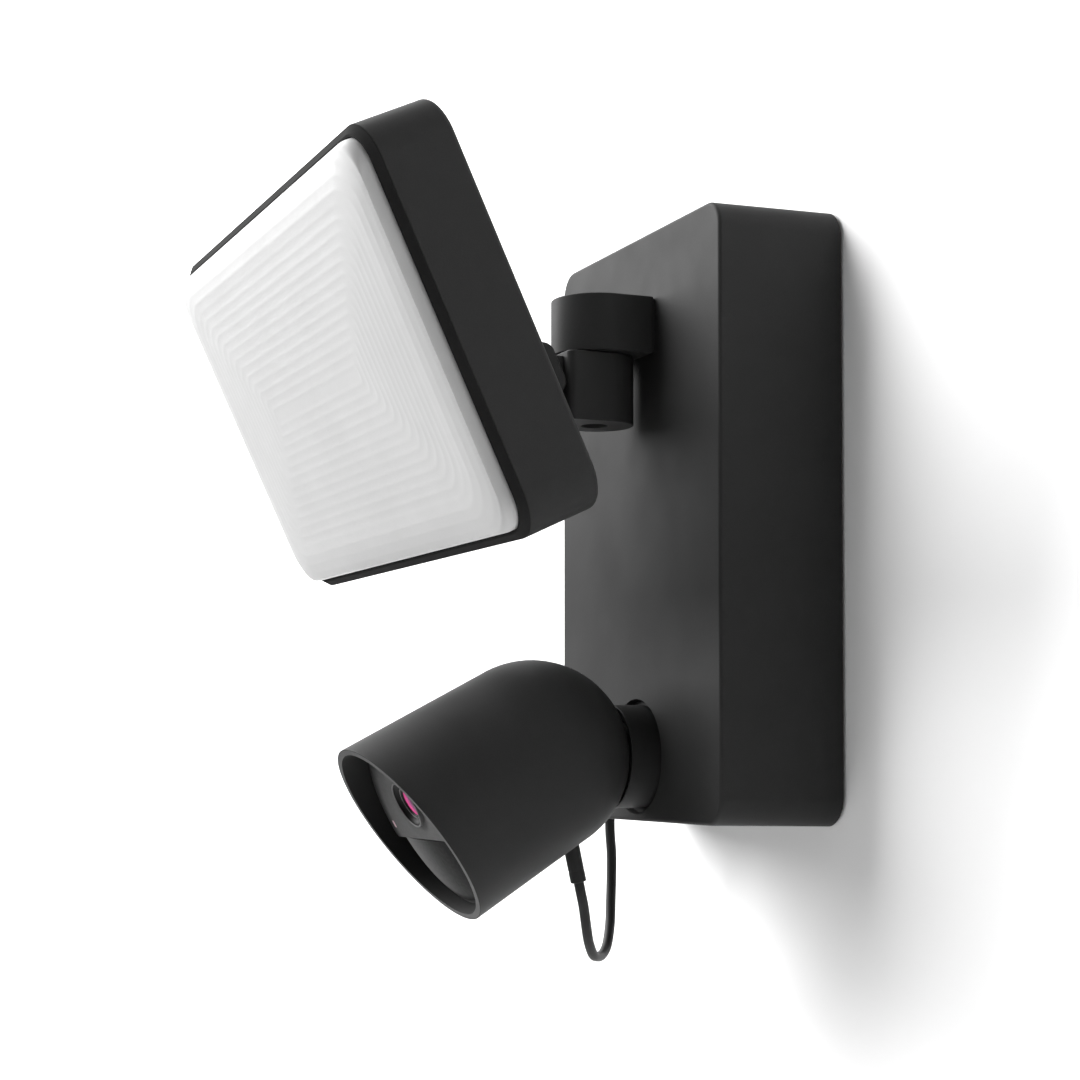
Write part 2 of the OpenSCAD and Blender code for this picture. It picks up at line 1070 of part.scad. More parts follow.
// Sweeps the cable along its route from point i0 to point i1
module cable(i0, i1) {
    skin([for (i = [i0 : i1]) ring(i, 10)]);
}

module cable_house_side() {
    color("#151515")
        cable(0, cable_low);
}

module cable_camera_side() {
    color("#151515")
        cable(cable_low, len(cable_route) - 1);
}

wall_plate();
wall_gasket();
rear_cover();
front_housing();
housing_screws();
power_board();
board_parts();
terminal_block();
board_screws();
arm_gasket();
arm_block();
arm_screws();
swivel_bolt();
swivel_washer();
swivel_knuckle();
light_neck();
neck_screws();
tilt_bolt();
tilt_nut();
tilt_washers();
light_housing();
heat_sink();
led_board();
leds();
reflector();
light_screws();
diffuser_seal();
light_diffuser();
light_bezel();
camera_cup();
cup_pad();
cup_magnet();
cup_screws();
cable_gland();
magnet_armature();
camera_shell();
camera_chassis();
face_seal();
face_plate();
sensor_window();
lens_ring();
lens_barrel();
lens_glass();
status_light();
camera_board();
image_sensor();
motion_sensor();
chassis_screws();
camera_socket();
cable_plug();
cable_camera_side();
cable_house_side();
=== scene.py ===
"""A wall-mounted floodlight with a tilting LED head and a bullet camera in a magnetic cup.

Lengths are in millimetres until a mesh is made, and the frame's row is in metres.
-Y points away from the wall, +X is to the right seen from the front and +Z is up.
"""

import json
import math

import bmesh
import bpy
from mathutils import Matrix, Vector


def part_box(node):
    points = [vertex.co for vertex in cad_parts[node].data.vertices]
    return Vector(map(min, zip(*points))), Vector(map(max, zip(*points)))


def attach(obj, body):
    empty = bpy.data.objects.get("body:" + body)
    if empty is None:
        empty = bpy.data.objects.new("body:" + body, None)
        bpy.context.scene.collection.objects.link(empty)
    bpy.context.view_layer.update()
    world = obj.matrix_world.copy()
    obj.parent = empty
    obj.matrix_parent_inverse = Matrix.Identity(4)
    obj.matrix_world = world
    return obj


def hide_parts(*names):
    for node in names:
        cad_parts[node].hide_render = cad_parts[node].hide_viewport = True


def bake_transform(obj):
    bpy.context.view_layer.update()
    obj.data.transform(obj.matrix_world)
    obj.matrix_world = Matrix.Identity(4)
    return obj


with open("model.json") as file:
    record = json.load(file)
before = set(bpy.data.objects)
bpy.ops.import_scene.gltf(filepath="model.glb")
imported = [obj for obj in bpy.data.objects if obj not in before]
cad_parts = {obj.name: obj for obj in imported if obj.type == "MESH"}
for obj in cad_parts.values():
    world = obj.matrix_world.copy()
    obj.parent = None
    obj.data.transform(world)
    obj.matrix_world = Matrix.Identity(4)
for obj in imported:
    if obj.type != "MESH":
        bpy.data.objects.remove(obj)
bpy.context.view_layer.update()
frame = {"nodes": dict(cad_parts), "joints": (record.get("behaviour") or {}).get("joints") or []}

MM = 0.001


def node_box(name):
    """Lowest and highest corner of a CAD node, in millimetres."""
    low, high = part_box(name)
    return low / MM, high / MM


def joint_origin(name):
    """A point on a joint's axis, in millimetres."""
    joint = next(j for j in frame["joints"] if j["name"] == name)
    return Vector(joint["pos_m"]) / MM


# ---------- driving dimensions ----------

HOUSE_LOW, HOUSE_HIGH = node_box("front_housing")
DRAFT = 1.05
HOUSE_W = HOUSE_HIGH.x - HOUSE_LOW.x - 2 * DRAFT
HOUSE_H = HOUSE_HIGH.z - HOUSE_LOW.z - 2 * DRAFT
HOUSE_FRONT, HOUSE_BACK = HOUSE_LOW.y, HOUSE_HIGH.y
HOUSE_R = 11
HOUSE_WALL, HOUSE_FRONT_WALL = 2.8, 3

KNUCKLE_R, KNUCKLE_FRONT, KNUCKLE_CORNER = 15.5, 19.6, 3.5
WELL_R, WELL_FORWARD, WELL_DEEP, WELL_EDGE = 5.7, 1.3, 8.9, 0.3
SPIGOT_R, SPIGOT_UP = 9, 5.5
LUG_R, LUG_HALF, LUG_ROOT = 10, 9, 12

HEAD_TILT = 25
HEAD_PIVOT = (74.9, -25.8)
HEAD_W, HEAD_H, HEAD_D, HEAD_R = 259, 156.8, 29.9, 16.2
CHAMFER = 2.85
RIM = 4.05

CAMERA_TILT = 30
DOME_R, VISOR_R, BARREL_L = 41, 43.7, 63.1
RAKE = math.tan(math.radians(7.5))
FACE_S, FACE_R = 56.8, 39.1
SPLIT_Z = -5.7
LENS_Z, LENS_RING_R, GLASS_R = 11, 10.4, 6

CABLE_D = 4.4
PLUG_END = Vector((0, -83.2, -150.4))
PLUG_LEAN = 12.5
PLUG_R = 3.4
CABLE_ROUTE = [
    (-44, -48, -121), (-44, -48, -131), (-43.5, -47.5, -141), (-42.5, -48, -151),
    (-40, -49.5, -161.5), (-36.5, -51.5, -171), (-31.5, -55, -179), (-28, -58, -182.5),
    (-23.5, -62, -184.3), (-19, -66, -184.1), (-14.5, -70, -182.5), (-9, -74.5, -176.5),
    (-5, -77.5, -169), (-2, -80, -161), (0, -82.3, -154.4), (0, -83.85, -147.4),
]
CABLE_LOW = 8

HEAD_HINGE = joint_origin("head_tilt")
CAMERA_CENTRE = joint_origin("camera_pan")
HEAD_PLACE = (
    Matrix.Translation(HEAD_HINGE)
    @ Matrix.Rotation(math.radians(HEAD_TILT), 4, "X")
    @ Matrix.Translation((0, -HEAD_PIVOT[0], -HEAD_PIVOT[1]))
)
CAMERA_PLACE = Matrix.Translation(CAMERA_CENTRE) @ Matrix.Rotation(math.radians(CAMERA_TILT), 4, "X")
PLUG_PLACE = Matrix.Translation(PLUG_END) @ Matrix.Rotation(math.radians(PLUG_LEAN), 4, "X")
ALONG_Y = Matrix.Rotation(math.radians(90), 4, "X")
ALONG_X = Matrix.Rotation(math.radians(90), 4, "Y")


# ---------- camera ----------

def make_camera():
    data = bpy.data.cameras.new("photo_camera")
    data.lens = 68.9
    data.sensor_width = 36
    data.shift_y = 0.13
    data.clip_start, data.clip_end = 0.05, 50
    camera = bpy.data.objects.new("photo_camera", data)
    camera.location = (0.7971, -0.44129, -0.09538)
    camera.rotation_euler = (math.radians(90 + 1.966), 0, math.radians(66.875))
    bpy.context.scene.collection.objects.link(camera)
    bpy.context.scene.camera = camera


# ---------- materials ----------

# Noise stays mostly between these, and colours and gloss are spread over that span
NOISE_LOW, NOISE_HIGH = 0.3, 0.7


class Nodes:
    """A material with a Principled shader, and short ways to add nodes to it."""

    def __init__(self, name):
        self.material = bpy.data.materials.new(name)
        self.material.use_nodes = True
        self.tree = self.material.node_tree
        self.shader = self.tree.nodes["Principled BSDF"]
        self.place = self.add("ShaderNodeTexCoord").outputs["Object"]

    def add(self, kind, inputs=None, **settings):
        node = self.tree.nodes.new(kind)
        for key, value in settings.items():
            setattr(node, key, value)
        for key, value in (inputs or {}).items():
            if isinstance(value, bpy.types.NodeSocket):
                self.tree.links.new(value, node.inputs[key])
            else:
                node.inputs[key].default_value = value
        return node

    def set(self, **values):
        for key, value in values.items():
            socket = self.shader.inputs[key.replace("_", " ")]
            if isinstance(value, bpy.types.NodeSocket):
                self.tree.links.new(value, socket)
            else:
                socket.default_value = value
        return self

    def noise(self, size, detail=2.0, stretch=(1, 1, 1), roughness=0.5):
        """Noise whose features are about size millimetres across, longer where stretch is under 1."""
        place = self.place
        if stretch != (1, 1, 1):
            place = self.add("ShaderNodeMapping", {"Vector": place, "Scale": stretch}).outputs[0]
        return self.add("ShaderNodeTexNoise", {
            "Vector": place, "Scale": 1 / (size * MM), "Detail": detail, "Roughness": roughness,
        }).outputs["Fac"]

    def ramp(self, factor, stops):
        """Colours or grey levels, (position, value), that a factor runs through."""
        node = self.add("ShaderNodeValToRGB", {"Fac": factor})
        elements = node.color_ramp.elements
        while len(elements) < len(stops):
            elements.new(0.5)
        for element, (position, value) in zip(elements, stops):
            element.position = position
            grey = isinstance(value, (int, float))
            element.color = (value, value, value, 1) if grey else (*value, 1)
        return node.outputs["Color"]

    def tones(self, noise, low, high):
        """A colour that varies from low to high with noise."""
        return self.ramp(noise, [(NOISE_LOW, low), (NOISE_HIGH, high)])

    def span(self, noise, low, high):
        """A number that varies from low to high with noise."""
        return self.add("ShaderNodeMapRange", {
            "Value": noise, "From Min": NOISE_LOW, "From Max": NOISE_HIGH,
            "To Min": low, "To Max": high,
        }).outputs["Result"]

    def from_point(self, point):
        """Each place on the surface, in metres, measured from a point in millimetres."""
        return self.add(
            "ShaderNodeVectorMath", {0: self.place, 1: point * MM}, operation="SUBTRACT"
        ).outputs[0]

    def bump(self, height, depth):
        """Relief depth millimetres deep."""
        node = self.add("ShaderNodeBump", {"Height": height, "Distance": depth * MM, "Strength": 1.0})
        return self.set(Normal=node.outputs["Normal"])


def grey(level):
    return (level, level, level)


def tint(colour, factor):
    return tuple(min(1.0, c * factor) for c in colour)


def moulded(name, colour, rough, grain=0.45, depth=0.02, vary=0.12, **extra):
    """Moulded plastic or rubber: fine spark-eroded grain and a faint cloudiness in its gloss."""
    made = Nodes(name)
    fine = made.noise(grain, 3.0)
    cloud = made.noise(28, 3.0)
    mixed = made.add("ShaderNodeMath", {0: fine, 1: cloud}, operation="ADD").outputs[0]
    half = made.add("ShaderNodeMath", {0: mixed, 1: 0.5}, operation="MULTIPLY").outputs[0]
    made.set(Base_Color=made.tones(half, tint(colour, 1 - vary), tint(colour, 1 + vary)))
    made.set(Roughness=made.span(cloud, rough - 0.04, rough + 0.04), **extra)
    made.bump(fine, depth)
    return made.material


def metal(name, colour, rough, stretch=(1, 1, 1), grain=0.8, depth=0.01):
    """Metal with brushed or sanded grain and dull patches."""
    made = Nodes(name)
    lines = made.noise(grain, 4.0, stretch)
    cloud = made.noise(14, 3.0)
    made.set(Base_Color=made.tones(cloud, tint(colour, 0.86), tint(colour, 1.06)))
    made.set(Roughness=made.span(lines, rough - 0.08, rough + 0.1), Metallic=1.0)
    made.bump(lines, depth)
    return made.material


def circuit_board(name, colour):
    """Solder mask with faint tracks under it."""
    made = Nodes(name)
    tracks = made.add("ShaderNodeTexBrick", {
        "Vector": made.place, "Scale": 1 / (9 * MM), "Mortar Size": 0.06, "Mortar Smooth": 0.4,
        "Color1": (*tint(colour, 0.85), 1), "Color2": (*colour, 1),
        "Mortar": (*tint(colour, 1.5), 1),
    })
    made.set(Base_Color=tracks.outputs["Color"], Roughness=made.span(made.noise(6), 0.3, 0.42))
    made.bump(tracks.outputs["Fac"], 0.03)
    return made.material


def opal(name):
    """The diffuser: milky plastic, slightly see-into, with a satin surface."""
    made = Nodes(name)
    cloud = made.noise(35, 2.0)
    made.set(
        Base_Color=made.tones(cloud, grey(0.450), grey(0.468)),
        Roughness=made.span(made.noise(4), 0.42, 0.5),
        Subsurface_Weight=0.25, Subsurface_Scale=0.004, Specular_IOR_Level=0.1,
    )
    made.shader.inputs["Subsurface Radius"].default_value = (1, 1, 1)
    made.bump(made.noise(0.6), 0.006)
    return made.material


def lens_painted_reflection(name):
    """Lens glass with a painted reflection: the coating's reflection is painted into its colour,
    magenta at its lower left running to dark purple across it.
    """
    made = Nodes(name)
    near = made.from_point(CAMERA_PLACE @ Vector((0, -FACE_S, LENS_Z)))
    # painted reflection: the colour runs along a fixed direction across the glass, not with the light
    across = made.add("ShaderNodeVectorMath", {0: near, 1: (1, 0.15, 0.3)}, operation="DOT_PRODUCT")
    share = made.add("ShaderNodeMapRange", {
        "Value": across.outputs["Value"], "From Min": -GLASS_R * MM, "From Max": GLASS_R * MM,
    }).outputs["Result"]
    made.set(Base_Color=made.ramp(share, [
        (0.0, (1.0, 0.13, 0.42)), (0.42, (0.80, 0.09, 0.33)),
        (0.62, (0.20, 0.045, 0.14)), (1.0, (0.04, 0.015, 0.04)),
    ]))
    cloud = made.noise(5, 1.0)
    made.set(Roughness=made.span(cloud, 0.14, 0.2), Specular_IOR_Level=0.3)
    return made.material


def plate_with_painted_shade(name, stops, painted_side_light=False):
    """Plastic with painted shade in its colour, darker into its corner with the visor; for the window,
    also painted light on its left that fades to painted shade on its right.
    """
    made = Nodes(name)
    axis = CAMERA_PLACE.to_3x3() @ Vector((0, 1, 0))
    near = made.from_point(CAMERA_PLACE @ Vector((0, -FACE_S, 0)))
    aside = made.add("ShaderNodeVectorMath", {0: near, 1: axis}, operation="CROSS_PRODUCT").outputs[0]
    away = made.add("ShaderNodeVectorMath", {0: aside}, operation="LENGTH").outputs["Value"]
    # painted shade: darker towards the visor's wall, where shade falls
    share = made.add("ShaderNodeMapRange", {
        "Value": away, "From Min": (FACE_R - 9) * MM, "From Max": (FACE_R - 0.8) * MM,
    }).outputs["Result"]
    # painted light and shade: lighter on the left, where light falls, and darker on the right
    if painted_side_light:
        across = made.add("ShaderNodeVectorMath", {0: near, 1: (1, 0, 0.25)}, operation="DOT_PRODUCT")
        painted_side_fade = made.add("ShaderNodeMapRange", {
            "Value": across.outputs["Value"], "From Min": -28 * MM, "From Max": 14 * MM, "To Max": 0.8,
        }).outputs["Result"]
        share = made.add("ShaderNodeMath", {0: share, 1: painted_side_fade}, operation="MAXIMUM").outputs[0]
    made.set(Base_Color=made.ramp(share, stops))
    cloud = made.noise(1.6, 1.0)
    made.set(Roughness=made.span(cloud, 0.45, 0.53), Specular_IOR_Level=0.03)
    return made.material


def glow(name, colour, strength):
    """A small light window."""
    made = Nodes(name)
    cloud = made.noise(1.2)
    tone = made.tones(cloud, tint(colour, 0.9), colour)
    made.set(
        Base_Color=tone, Roughness=made.span(cloud, 0.3, 0.4),
        Emission_Color=tone, Emission_Strength=strength,
    )
    return made.material


def make_materials():
    return {
        "shell": moulded("black_shell", grey(0.024), 0.66, depth=0.03, Specular_IOR_Level=0.14),
        "bezel": moulded("black_bezel", grey(0.020), 0.8, Specular_IOR_Level=0.02),
        "arm": moulded(
            "black_cast_metal", grey(0.030), 0.52, grain=0.5, depth=0.022, Specular_IOR_Level=0.09,
        ),
        "camera": moulded(
            "black_camera_shell", grey(0.027), 0.56, grain=0.4, depth=0.016, Specular_IOR_Level=0.06,
        ),
        # the face plate's colour carries painted shade towards the visor's wall
        "face": plate_with_painted_shade("black_face_painted_shade", [(0.0, 0.085), (0.5, 0.035), (1.0, 0.003)]),
        # the window is dark plastic whose colour also carries painted light on the left and painted
        # shade on the right and towards the visor
        "window": plate_with_painted_shade(
            "dark_window_painted_light_and_shade", [(0.0, 0.130), (0.27, 0.070), (0.53, 0.026), (0.8, 0.008), (1.0, 0.003)],
            painted_side_light=True,
        ),
        "inner": moulded("black_inner_plastic", grey(0.035), 0.6, grain=0.9, depth=0.03),
        "rubber": moulded("black_rubber", grey(0.018), 0.72, grain=0.7, depth=0.03),
        "cable": moulded(
            "cable_jacket", grey(0.016), 0.5, grain=0.3, depth=0.01, Specular_IOR_Level=0.2,
        ),
        # painted light: the visor's rim is the shell's plastic painted lighter, where it catches light
        "rim": moulded(
            "visor_rim_painted_light", grey(0.065), 0.5, grain=0.4, depth=0.012, Specular_IOR_Level=0.15,
        ),
        # painted shade: the visor's inside is the shell's plastic painted darker, where shade falls in
        # it
        "liner": moulded("visor_inside_painted_shade", grey(0.008), 0.6, grain=0.5, Specular_IOR_Level=0.1),
        # painted highlight: the lens rings' outsides and rounded lips are painted lighter than their
        # black insides
        "lens_edge_painted_highlight": moulded(
            "lens_edge_painted_highlight", grey(0.07), 0.4, grain=0.3, depth=0.004, Specular_IOR_Level=0.3,
        ),
        "lens_black": moulded(
            "lens_black", grey(0.006), 0.45, grain=0.3, depth=0.006, Specular_IOR_Level=0.1,
        ),
        "white": moulded("white_plastic", (0.7, 0.7, 0.69), 0.45, grain=0.7, depth=0.01, vary=0.04),
        "diffuser": opal("opal_diffuser"),
        # the lens glass carries a painted reflection in its colour
        "glass": lens_painted_reflection("lens_painted_reflection"),
        "light": glow("status_window", (0.50, 0.33, 0.37), 0.05),
        "led": glow("led_phosphor", (0.85, 0.72, 0.25), 0.05),
        "plate": metal("zinc_plate", (0.62, 0.63, 0.64), 0.36, stretch=(1, 1, 0.06)),
        "screw": metal("screw_steel", (0.55, 0.55, 0.54), 0.3, grain=0.4),
        "magnet": metal("nickel_magnet", (0.66, 0.64, 0.60), 0.2, grain=0.6, depth=0.004),
        "sink": metal("drawn_aluminium", (0.72, 0.73, 0.74), 0.34, stretch=(1, 1, 0.05), grain=0.5),
        "green": circuit_board("green_board", (0.012, 0.10, 0.035)),
        "pale": circuit_board("white_board", (0.62, 0.62, 0.60)),
    }


# ---------- meshes ----------

def rounded(width, height, radius, steps=10):
    """A rounded rectangle as points in X and Z, counter-clockwise from the right-hand side."""
    x, z = width / 2 - radius, height / 2 - radius
    corners = ((x, z, 0), (-x, z, 90), (-x, -z, 180), (x, -z, 270))
    return [
        (cx + radius * math.cos(math.radians(start + 90 * k / steps)),
         cz + radius * math.sin(math.radians(start + 90 * k / steps)))
        for cx, cz, start in corners
        for k in range(steps + 1)
    ]


def ring_at(outline, y):
    return [Vector((x, y, z)) for x, z in outline]


def arc(centre, radius, start, end, steps):
    """Points on an arc in a plane, with angles in degrees."""
    turns = [math.radians(start + (end - start) * k / steps) for k in range(steps + 1)]
    return [(centre[0] + radius * math.cos(t), centre[1] + radius * math.sin(t)) for t in turns]


def loft(rings, first=True, last=True, looped=False):
    """Faces between rings of equal length, with the first and last ring closed or not."""
    count = len(rings[0])
    verts = [p for ring in rings for p in ring]
    pairs = list(zip(range(len(rings) - 1), range(1, len(rings))))
    if looped:
        pairs.append((len(rings) - 1, 0))
    faces = [
        (a * count + k, a * count + (k + 1) % count, b * count + (k + 1) % count, b * count + k)
        for a, b in pairs
        for k in range(count)
    ]
    if first and not looped:
        faces.append(tuple(reversed(range(count))))
    if last and not looped:
        faces.append(tuple((len(rings) - 1) * count + k for k in range(count)))
    return verts, faces


def spin(profile, steps=64):
    """Turns a profile of (radius, height) about Z. A radius of 0 closes it with a fan."""
    verts, rows = [], []
    for radius, height in profile:
        if radius < 1e-6:
            rows.append([len(verts)] * steps)
            verts.append(Vector((0, 0, height)))
            continue
        rows.append([len(verts) + k for k in range(steps)])
        for k in range(steps):
            turn = 2 * math.pi * k / steps
            verts.append(Vector((radius * math.cos(turn), radius * math.sin(turn), height)))
    faces = []
    for low, high in zip(rows, rows[1:]):
        for k in range(steps):
            corners = [low[k], low[(k + 1) % steps], high[(k + 1) % steps], high[k]]
            face = [v for n, v in enumerate(corners) if v not in corners[:n]]
            if len(face) > 2:
                faces.append(tuple(face))
    return verts, faces


def prism(outline, start, end):
    """An outline in X and Z, extruded along Y from start to end."""
    return loft([ring_at(outline, start), ring_at(outline, end)])


def moved(shape, place):
    verts, faces = shape
    return [place @ Vector(v) for v in verts], faces


def joined(*shapes):
    verts, faces = [], []
    for more, some in shapes:
        faces += [tuple(v + len(verts) for v in face) for face in some]
        verts += [Vector(v) for v in more]
    return verts, faces


def mesh_object(name, shape, place=None):
    verts, faces = shape
    if place is not None:
        verts = [place @ Vector(v) for v in verts]
    data = bpy.data.meshes.new(name)
    data.from_pydata([tuple(v * MM) for v in verts], [], faces)
    edit = bmesh.new()
    edit.from_mesh(data)
    bmesh.ops.recalc_face_normals(edit, faces=edit.faces)
    edit.to_mesh(data)
    edit.free()
    obj = bpy.data.objects.new(name, data)
    bpy.context.scene.collection.objects.link(obj)
    return obj


def apply_modifiers(obj):
    """Makes the modifiers' result the object's own mesh."""
    depsgraph = bpy.context.evaluated_depsgraph_get()
    made = bpy.data.meshes.new_from_object(obj.evaluated_get(depsgraph))
    obj.modifiers.clear()
    obj.data = made


def rounded_edges(obj, width, segments=3, angle=35):
    bevel = obj.modifiers.new("edges", "BEVEL")
    bevel.width = width * MM
    bevel.segments = segments
    bevel.limit_method = "ANGLE"
    bevel.angle_limit = math.radians(angle)
    bevel.use_clamp_overlap = True
    apply_modifiers(obj)


def cut(obj, *shapes):
    """Takes closed shapes, in the row frame, out of an object."""
    for shape in shapes:
        tool = mesh_object("cutter", shape)
        boolean = obj.modifiers.new("cut", "BOOLEAN")
        boolean.operation = "DIFFERENCE"
        boolean.solver = "EXACT"
        boolean.object = tool
        apply_modifiers(obj)
        bpy.data.objects.remove(tool)


def shape_of(obj):
    """Takes an object out of the scene and gives its mesh as points and faces."""
    shape = [v.co / MM for v in obj.data.vertices], [tuple(p.vertices) for p in obj.data.polygons]
    bpy.data.objects.remove(obj)
    return shape


def finish_piece(obj, material, body, nodes, sharp=40, patches=()):
    """Smooth shading with crisp edges, materials, a body to ride on and the CAD nodes replaced.

    Each patch is a material and the faces, counted as they were made, that it covers.
    """
    obj.data.shade_smooth()
    obj.data.set_sharp_from_angle(angle=math.radians(sharp))
    normals = obj.modifiers.new("normals", "WEIGHTED_NORMAL")
    normals.keep_sharp = True
    normals.weight = 50
    obj.data.materials.clear()
    obj.data.materials.append(material)
    for extra, faces in patches:
        obj.data.materials.append(extra)
        for index in faces:
            obj.data.polygons[index].material_index = len(obj.data.materials) - 1
    if body:
        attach(obj, body)
    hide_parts(*nodes)
    return obj


# ---------- camera cable ----------

def smooth_route(points, steps=4):
    """A Catmull-Rom curve through the route's points, and the index of each point on it."""
    pts = [Vector(p) for p in points]
    line, marks = [], []
    for i in range(len(pts) - 1):
        a = pts[i - 1] if i else 2 * pts[0] - pts[1]
        b, c = pts[i], pts[i + 1]
        d = pts[i + 2] if i + 2 < len(pts) else 2 * pts[-1] - pts[-2]
        marks.append(len(line))
        for k in range(steps):
            t = k / steps
            line.append(0.5 * (
                2 * b + (c - a) * t
                + (2 * a - 5 * b + 4 * c - d) * t ** 2
                + (3 * b - a - 3 * c + d) * t ** 3
            ))
    marks.append(len(line))
    return line + [pts[-1]], marks


def cable_tube(line, radius, sides=20):
    """Rings square to a line, turned as little as possible from one to the next."""
    rings, side = [], Vector((0, 1, 0))
    for i, point in enumerate(line):
        ahead = line[min(i + 1, len(line) - 1)] - line[max(i - 1, 0)]
        ahead.normalize()
        side = (side - ahead * side.dot(ahead)).normalized()
        other = ahead.cross(side)
        rings.append([
            point + radius * (math.cos(a) * side + math.sin(a) * other)
            for a in (2 * math.pi * k / sides for k in range(sides))
        ])
    return loft(rings)


def make_cable(materials):
    line, marks = smooth_route(CABLE_ROUTE)
    low = marks[CABLE_LOW]
    parts = (
        ("camera_cable_upper", line[:low + 1], "cable_house_side", "housing", "camera_pan_carrier"),
        ("camera_cable_lower", line[low:], "cable_camera_side", "camera_pan_carrier", "camera"),
    )
    made = []
    for name, points, node, first, second in parts:
        obj = mesh_object(name, cable_tube(points, CABLE_D / 2))
        finish_piece(obj, materials["cable"], None, [node], sharp=60)
        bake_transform(obj)
        made.append((obj, points))
    return made


def make_gland(materials):
    """The rubber sleeve in the housing's underside that the cable comes out of."""
    low, high = node_box("cable_gland")
    place = Matrix.Translation((CABLE_ROUTE[0][0], CABLE_ROUTE[0][1], low.z))
    bore = CABLE_D / 2 + 0.05
    top = high.z - low.z
    profile = [
        (bore, 0.6), *arc((bore + 0.6, 0.6), 0.6, 180, 270, 3),
        (3.4, 0), *arc((3.4, 0.6), 0.6, 270, 360, 3),
        (4.0, top - 2.2), (4.6, top - 2.0), (5.0, top - 1.7), (5.0, top), (bore, top), (bore, 0.6),
    ]
    obj = mesh_object("cable_gland_body", spin(profile, 40), place)
    return finish_piece(obj, materials["rubber"], "housing", ["cable_gland"], sharp=50)


def make_plug(materials):
    groove = 0.12
    profile = [
        (0, 1.2), (CABLE_D / 2 + 0.25, 1.2), (CABLE_D / 2 + 0.3, 0.15), (PLUG_R - 0.5, 0),
        *arc((PLUG_R - 0.4, 0.4), 0.4, 285, 360, 4),
        (PLUG_R, 4.6), (PLUG_R - groove, 4.8), (PLUG_R - groove, 5.3),
        (PLUG_R, 5.5), (PLUG_R, 18.6), (PLUG_R - 0.4, 19), (2, 19), (2, 24), (0, 24),
    ]
    obj = mesh_object("cable_plug_sleeve", spin(profile, 40), PLUG_PLACE)
    return finish_piece(obj, materials["cable"], "camera", ["cable_plug"], sharp=50)


# ---------- housing ----------

def house_ring(y, inset):
    """The housing's outline at a distance from the wall, moved in by inset."""
    grow = DRAFT * (y - HOUSE_FRONT) / (HOUSE_BACK - HOUSE_FRONT) - inset
    return ring_at(rounded(HOUSE_W + 2 * grow, HOUSE_H + 2 * grow, max(HOUSE_R + grow, 1.5), 14), y)


def make_housing(materials):
    """The housing's shell, hollow from the wall, with a round recess for the cup and a cable hole."""
    fillet, fillet_steps, back_edge = 1.5, 6, 0.25
    rings = [
        house_ring(HOUSE_FRONT + HOUSE_FRONT_WALL, HOUSE_WALL), house_ring(HOUSE_BACK, HOUSE_WALL),
        house_ring(HOUSE_BACK, back_edge), house_ring(HOUSE_BACK - back_edge, 0),
        house_ring(HOUSE_FRONT + fillet, 0),
    ]
    for k in range(1, fillet_steps + 1):
        turn = math.radians(90 * k / fillet_steps)
        rings.append(house_ring(
            HOUSE_FRONT + fillet * (1 - math.sin(turn)), fillet * (1 - math.cos(turn))
        ))
    obj = mesh_object("housing_shell", loft(rings))
    cup_low, cup_high = node_box("cup_magnet")
    cup_z = (cup_low.z + cup_high.z) / 2
    hole, mouth, wire_hole = 24.1, 24.6, 4.05
    recess = [(0, -8), (hole, -8), (hole, -0.6), (mouth, 0), (mouth, 4), (0, 4)]
    place = Matrix.Translation((0, HOUSE_FRONT, cup_z)) @ ALONG_Y
    wire = Matrix.Translation((CABLE_ROUTE[0][0], CABLE_ROUTE[0][1], HOUSE_LOW.z))
    cut(
        obj,
        moved(spin(recess, 96), place),
        moved(spin([(0, -4), (wire_hole, -4), (wire_hole, 6), (0, 6)], 40), wire),
    )
    finish_piece(obj, materials["shell"], "housing", ["front_housing"], sharp=50)
    return cup_z


def make_cup(materials, cup_z):
    """The neck that holds the camera: its front follows the dome, round a deeper spherical seat."""
    back, inside = HOUSE_FRONT + HOUSE_FRONT_WALL, -60.3
    bore, radius, lip, step_r = 12.1, 22, 0.45, 17
    near, deep = DOME_R + 1.1, DOME_R + 2.4
    near_step, deep_steps = 1.2, 10
    flange_w, flange_h, flange_z = 66, 51, -96

    def height(around, r):
        """Distance from the wall of a sphere about the camera's centre."""
        return -(CAMERA_CENTRE.y + math.sqrt(around ** 2 - r ** 2))

    front = height(near, radius - lip)
    profile = [(0, -inside), (bore, -inside), (bore, -back), (radius, -back), (radius, front - lip)]
    profile += arc((radius - lip, front - lip), lip, 0, 90, 5)[1:]
    reaches = [radius - near_step * k for k in (1, 2, 3)] + [step_r]
    profile += [(r, height(near, r)) for r in reaches]
    reaches = [step_r * (deep_steps - k) / deep_steps for k in range(deep_steps + 1)]
    profile += [(r, height(deep, r)) for r in reaches]
    ring = moved(spin(profile, 96), Matrix.Translation((0, 0, cup_z)) @ ALONG_Y)
    flange = prism([(x, z + flange_z) for x, z in rounded(flange_w, flange_h, 6)], back, back + 3)
    obj = mesh_object("camera_cup_ring", joined(ring, flange))
    finish_piece(obj, materials["camera"], "housing", ["camera_cup"])


# ---------- arm ----------

